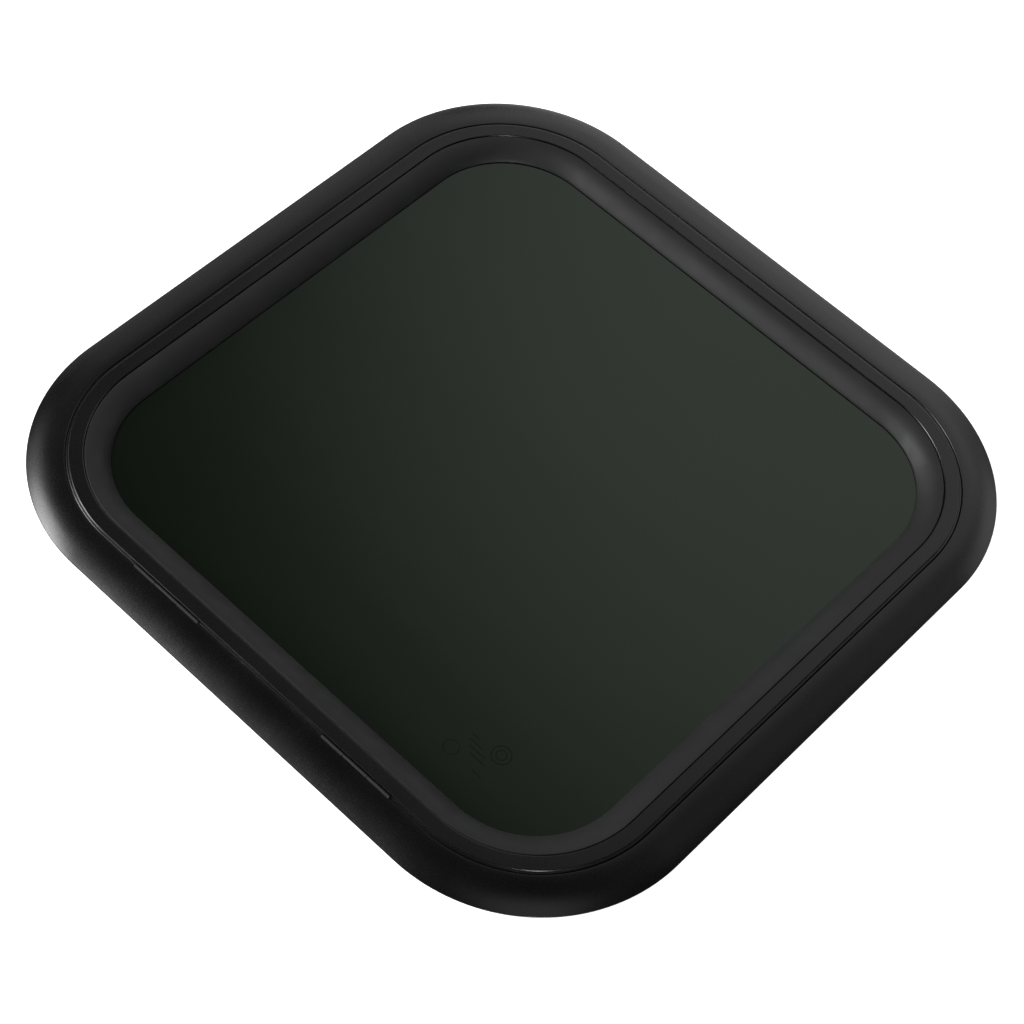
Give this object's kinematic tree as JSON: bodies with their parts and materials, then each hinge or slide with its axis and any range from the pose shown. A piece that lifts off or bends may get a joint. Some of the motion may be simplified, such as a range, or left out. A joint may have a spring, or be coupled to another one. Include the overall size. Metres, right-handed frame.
{
  "type": "deck hatch",
  "caption": "Square flush deck hatch with rounded corners: a clamped flanged base frame, a hinged lid with dark glass, and inside turning handles.",
  "frame": {"origin": "middle of the deck cut-out, on the deck's top face", "axes": "+Z out of the deck, +Y towards the hinges, -Y towards the handles, +X to the right as seen from above with the hinges at the top"},
  "size_m": [0.5, 0.5, 0.0394],
  "materials": {
    "coated_frame": "satin black powder coat, fine orange peel",
    "coated_ring": "satin black powder coat",
    "coated_hinge": "satin black coat on steel",
    "gasket_foam": "closed-cell foam, matte",
    "seal_rubber": "soft matte rubber",
    "glazing_rubber": "moulded matte rubber",
    "bedding_tape": "butyl tape",
    "tinted_glass": "dark green privacy glass, polished",
    "stainless_screw": "stainless",
    "stainless_pin": "ground stainless",
    "stainless_plate": "brushed stainless",
    "black_plastic": "fine-textured glass-filled nylon",
    "acetal_washer": "natural acetal"
  },
  "bodies": {
    "base": {"base_frame": "coated_frame", "flange_gasket": "gasket_foam", "compression_seal": "seal_rubber", "clamp_ring": "coated_ring", "clamp_screw_01": "stainless_screw", "clamp_screw_02": "stainless_screw", "clamp_screw_03": "stainless_screw", "clamp_screw_04": "stainless_screw", "clamp_screw_05": "stainless_screw", "clamp_screw_06": "stainless_screw", "clamp_screw_07": "stainless_screw", "clamp_screw_08": "stainless_screw", "clamp_screw_09": "stainless_screw", "clamp_screw_10": "stainless_screw", "clamp_screw_11": "stainless_screw", "clamp_screw_12": "stainless_screw", "hinge_left_base_leaf": "coated_hinge", "hinge_left_pin": "stainless_pin", "hinge_left_base_screw_1": "stainless_screw", "hinge_left_base_screw_2": "stainless_screw", "keeper_left": "stainless_plate", "keeper_left_screw_1": "stainless_screw", "keeper_left_screw_2": "stainless_screw", "hinge_right_base_leaf": "coated_hinge", "hinge_right_pin": "stainless_pin", "hinge_right_base_screw_1": "stainless_screw", "hinge_right_base_screw_2": "stainless_screw", "keeper_right": "stainless_plate", "keeper_right_screw_1": "stainless_screw", "keeper_right_screw_2": "stainless_screw"},
    "lid": {"lid_frame": "coated_frame", "glass_pane": "tinted_glass", "glazing_rubber": "glazing_rubber", "glazing_tape": "bedding_tape", "hinge_left_lid_leaf": "coated_hinge", "hinge_left_lid_screw_1": "stainless_screw", "hinge_left_lid_screw_2": "stainless_screw", "handle_left_housing": "black_plastic", "handle_left_housing_screw_1": "stainless_screw", "handle_left_housing_screw_2": "stainless_screw", "hinge_right_lid_leaf": "coated_hinge", "hinge_right_lid_screw_1": "stainless_screw", "hinge_right_lid_screw_2": "stainless_screw", "handle_right_housing": "black_plastic", "handle_right_housing_screw_1": "stainless_screw", "handle_right_housing_screw_2": "stainless_screw"},
    "handle_left": {"handle_left_spindle": "stainless_plate", "handle_left_washer": "acetal_washer", "handle_left_tongue": "stainless_plate", "handle_left_lever": "black_plastic", "handle_left_screw": "stainless_screw"},
    "handle_right": {"handle_right_spindle": "stainless_plate", "handle_right_washer": "acetal_washer", "handle_right_tongue": "stainless_plate", "handle_right_lever": "black_plastic", "handle_right_screw": "stainless_screw"}
  },
  "joints": [
    {"name": "lid_hinge", "type": "hinge", "parent": "base", "child": "lid", "pos_m": [0, 0.2259, 0.006], "axis": [-1, 0, 0], "range_deg": [0, 100]},
    {"name": "handle_left_turn", "type": "hinge", "parent": "lid", "child": "handle_left", "pos_m": [-0.11, -0.1925, -0.02], "axis": [0, 0, -1], "range_deg": [0, 90]},
    {"name": "handle_right_turn", "type": "hinge", "parent": "lid", "child": "handle_right", "pos_m": [0.11, -0.1925, -0.02], "axis": [0, 0, 1], "range_deg": [0, 90]}
  ]
}
